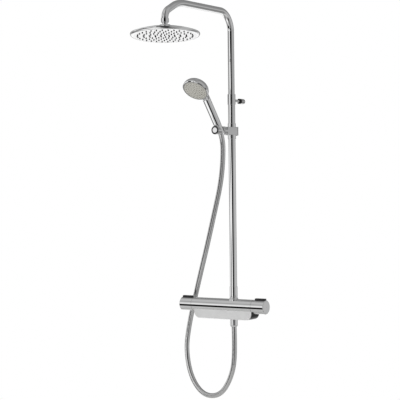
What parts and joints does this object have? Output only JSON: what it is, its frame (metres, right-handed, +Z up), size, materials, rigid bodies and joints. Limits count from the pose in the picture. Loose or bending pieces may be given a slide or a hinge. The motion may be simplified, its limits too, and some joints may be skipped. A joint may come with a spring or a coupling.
{
  "type": "rainfall shower column",
  "caption": "Exposed thermostatic bar mixer with a telescopic riser, curved arm, round tilting rain head, sliding handset holder, handset and flexible hose.",
  "frame": {"origin": "midway between the flat faces of the two inlet union nuts, level with the bar's axis", "axes": "+X along the mixer bar towards the flow handle, +Y into the wall, +Z up"},
  "size_m": [0.3285, 0.5153, 1.21],
  "materials": {
    "chrome": "bright polished chrome plate",
    "hose_steel": "smooth silver hose with fine winding lines",
    "brass": "machined brass",
    "screw_steel": "plain stainless steel",
    "dark_plastic": "moulded engineering plastic",
    "black_rubber": "moulded rubber",
    "rain_face": "pale satin face",
    "nozzle_rubber": "dark soft nozzles",
    "spray_face": "warm light grey face",
    "spray_rubber": "grey soft nozzles"
  },
  "bodies": {
    "mixer": {"valve_body": "chrome", "lower_housing": "chrome", "housing_screws": "screw_steel", "inlet_tails": "brass", "inlet_nuts": "chrome", "inlet_washers": "black_rubber", "check_valves": "dark_plastic", "temp_cartridge": "dark_plastic", "flow_cartridge": "dark_plastic", "riser_connector": "chrome", "riser_seals": "black_rubber", "lower_tube": "chrome", "tube_collar": "chrome", "collar_set_screw": "screw_steel", "bracket_neck": "chrome", "wall_standoff": "chrome", "wall_base": "brass", "standoff_grub": "screw_steel", "outlet_nipple": "brass", "outlet_washer": "black_rubber", "hose_lower_nut": "chrome", "hose": "hose_steel"},
    "temp_knob": {"temp_handle": "chrome", "temp_spindle": "brass", "temp_handle_screw": "screw_steel", "temp_end_cap": "chrome"},
    "temp_button": {"temp_stop_button": "dark_plastic"},
    "flow_knob": {"flow_handle": "chrome", "flow_spindle": "brass", "flow_handle_screw": "screw_steel", "flow_end_cap": "chrome"},
    "flow_button": {"flow_stop_button": "dark_plastic"},
    "guide": {"guide_bush": "dark_plastic", "bush_seal": "black_rubber"},
    "arm": {"upper_tube": "chrome", "arm_nut": "chrome", "stem_washer": "black_rubber", "ball_stem": "chrome"},
    "ball_seat": {"ball_ring": "dark_plastic"},
    "rain_head": {"ball_nut": "chrome", "head_shell": "chrome", "face_plate": "rain_face", "head_gasket": "black_rubber", "nozzle_mat": "nozzle_rubber"},
    "slider": {"slider_bush": "chrome", "slider_block": "chrome", "slider_back": "chrome", "slider_screws": "screw_steel"},
    "cradle": {"cradle": "chrome"},
    "handset": {"hose_cone_nut": "chrome", "handset_washer": "black_rubber", "handset_body": "chrome", "handset_rim": "chrome", "spray_plate": "spray_face", "spray_mat": "spray_rubber"}
  },
  "joints": [
    {"name": "temp_turn", "type": "hinge", "parent": "mixer", "child": "temp_knob", "pos_m": [-0.13, -0.041, 0], "axis": [1, 0, 0], "range_deg": [-60, 130]},
    {"name": "temp_stop_press", "type": "slide", "parent": "temp_knob", "child": "temp_button", "axis": [0, 0, -1], "range_m": [0, 0.002], "stiffness_N_per_m": 900, "springref_m": -0.003},
    {"name": "flow_turn", "type": "hinge", "parent": "mixer", "child": "flow_knob", "pos_m": [0.13, -0.041, 0], "axis": [1, 0, 0], "range_deg": [-90, 90]},
    {"name": "flow_stop_press", "type": "slide", "parent": "flow_knob", "child": "flow_button", "axis": [0, 0, -1], "range_m": [0, 0.002], "stiffness_N_per_m": 900, "springref_m": -0.003},
    {"name": "height_slide", "type": "slide", "parent": "mixer", "child": "guide", "axis": [0, 0, 1], "range_m": [-0.1, 0.12]},
    {"name": "arm_swivel", "type": "hinge", "parent": "guide", "child": "arm", "pos_m": [0.037, -0.041, 0.48], "axis": [0, 0, 1], "range_deg": [-60, 60]},
    {"name": "head_tilt_front", "type": "hinge", "parent": "arm", "child": "ball_seat", "pos_m": [0.037, -0.389, 0.816], "axis": [1, 0, 0], "range_deg": [-6.5, 13.5]},
    {"name": "head_tilt_side", "type": "hinge", "parent": "ball_seat", "child": "rain_head", "pos_m": [0.037, -0.389, 0.816], "axis": [0, 1, 0], "range_deg": [-7.5, 12.5]},
    {"name": "slider_slide", "type": "slide", "parent": "mixer", "child": "slider", "axis": [0, 0, 1], "range_m": [-0.42, 0.05], "deforming": ["hose"]},
    {"name": "cradle_turn", "type": "hinge", "parent": "slider", "child": "cradle", "pos_m": [0.037, -0.07, 0.539], "axis": [0, 1, 0], "range_deg": [-15, 15], "deforming": ["hose"]},
    {"name": "handset_lift", "type": "slide", "parent": "cradle", "child": "handset", "axis": [0, -0.6225, 0.7826], "range_m": [0, 0.026], "deforming": ["hose"]}
  ]
}
